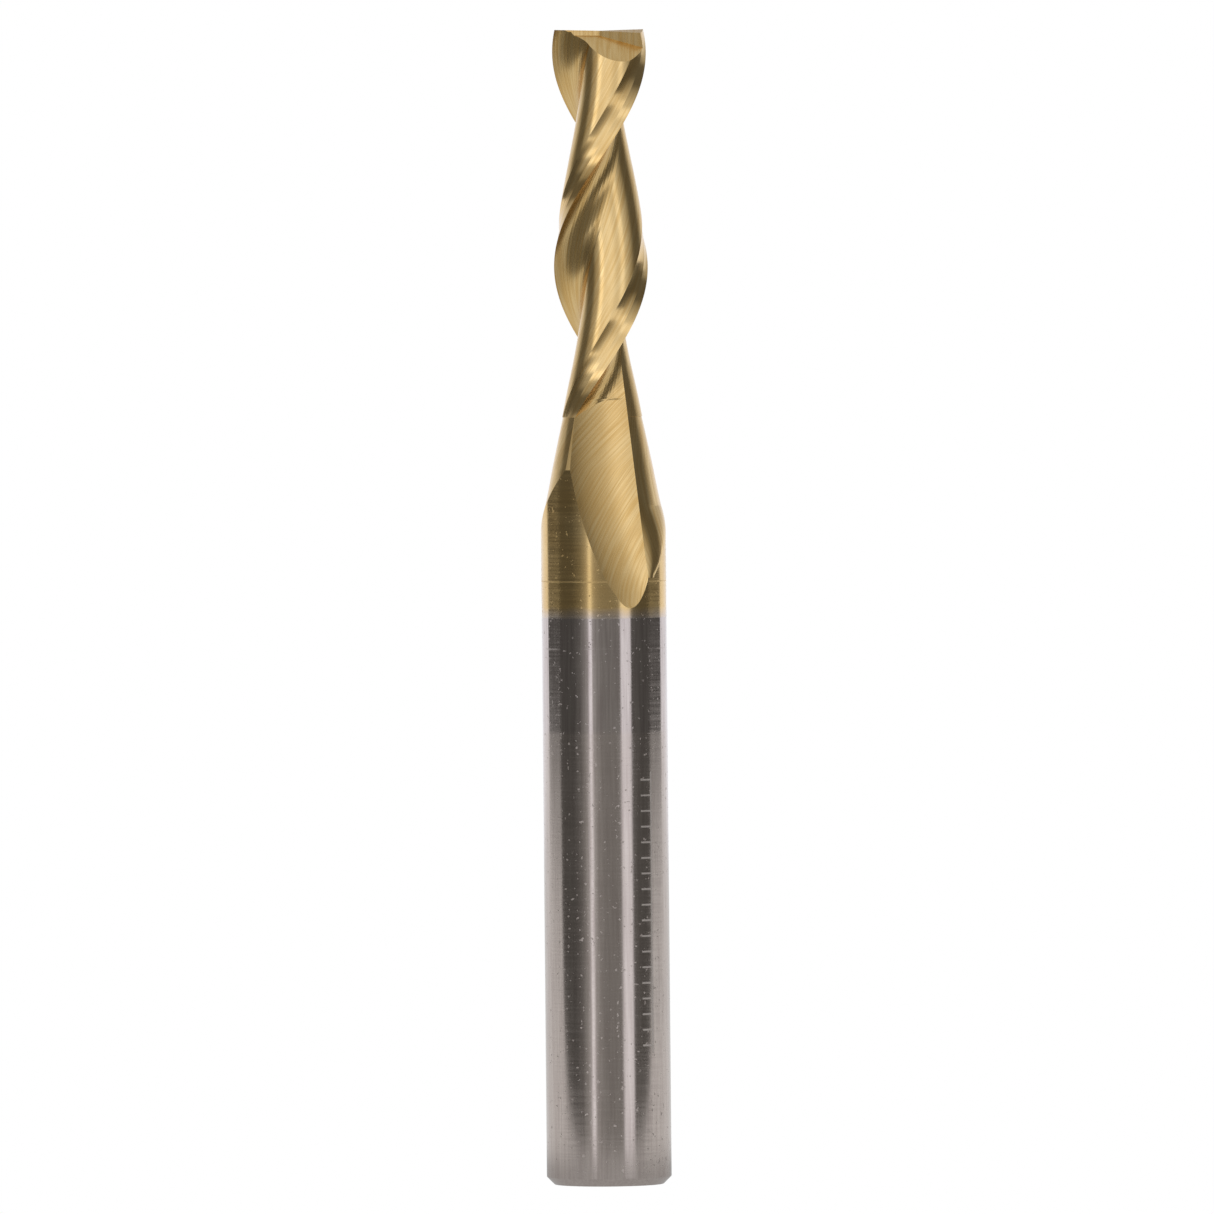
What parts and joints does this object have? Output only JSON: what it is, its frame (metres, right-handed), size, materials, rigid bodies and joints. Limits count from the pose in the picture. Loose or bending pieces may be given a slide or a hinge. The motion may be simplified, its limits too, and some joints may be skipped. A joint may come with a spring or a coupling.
{
  "type": "end mill",
  "caption": "Gold-coated end mill with helical flutes, a tapered neck and a plain cylindrical shank for a collet.",
  "frame": {"origin": "centre of the shank's end face, on the tool's axis", "axes": "+Z along the tool's axis towards the cutting tip; +X is where one cutting edge crosses z = 58.8 mm"},
  "size_m": [0.008, 0.008, 0.074],
  "materials": {
    "ground_carbide": "cylindrically ground tungsten carbide",
    "gold_coating": "titanium nitride coating over ground carbide"
  },
  "bodies": {
    "root": {"shank": "ground_carbide", "cutting_end": "gold_coating"}
  },
  "joints": []
}
